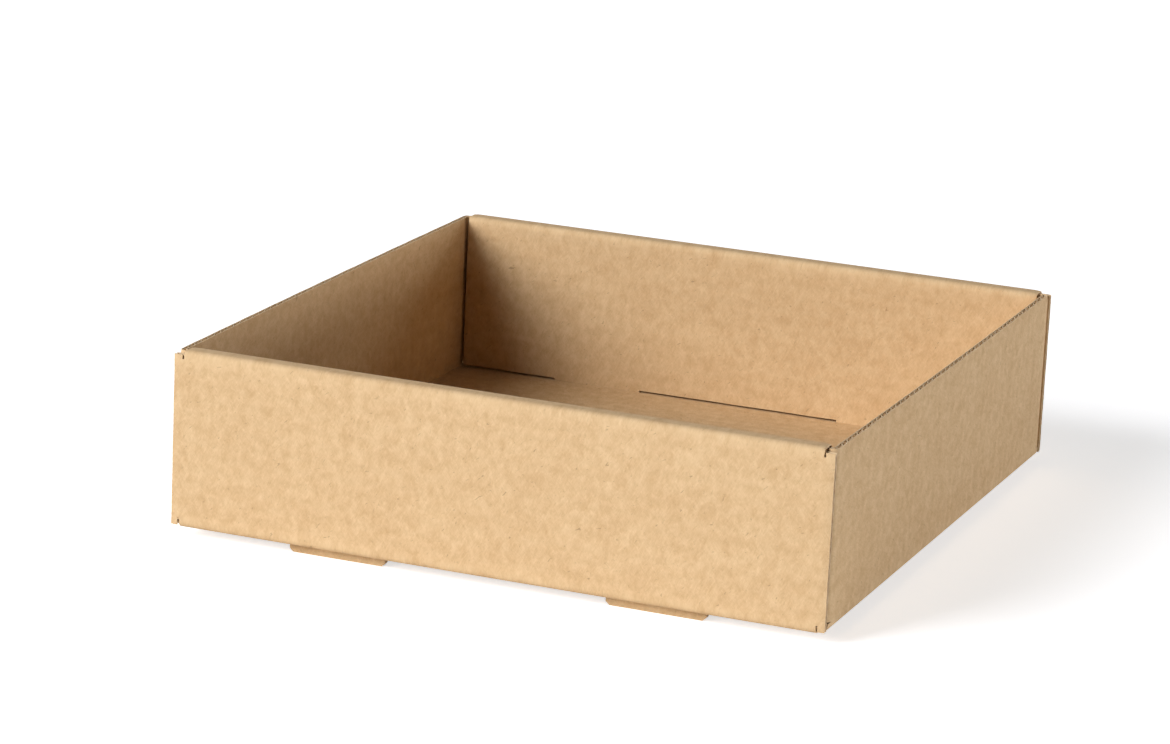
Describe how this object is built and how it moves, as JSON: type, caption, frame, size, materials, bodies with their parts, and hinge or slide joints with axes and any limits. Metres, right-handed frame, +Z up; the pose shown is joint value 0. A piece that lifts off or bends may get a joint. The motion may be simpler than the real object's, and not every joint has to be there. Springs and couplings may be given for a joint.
{
  "type": "cardboard tray box",
  "caption": "Open square tray folded from one sheet of corrugated board, with rolled double walls at front and back locked by tabs in base slots.",
  "frame": {"origin": "middle of the footprint, on the surface that the lock tabs stand on", "axes": "+Z up; +X along the rolled front wall, to the right; +Y from the front wall to the back wall"},
  "size_m": [0.1532, 0.1604, 0.043],
  "materials": {
    "kraft_board": "matt uncoated kraft liner"
  },
  "bodies": {
    "root": {"tray": "kraft_board"}
  },
  "joints": []
}
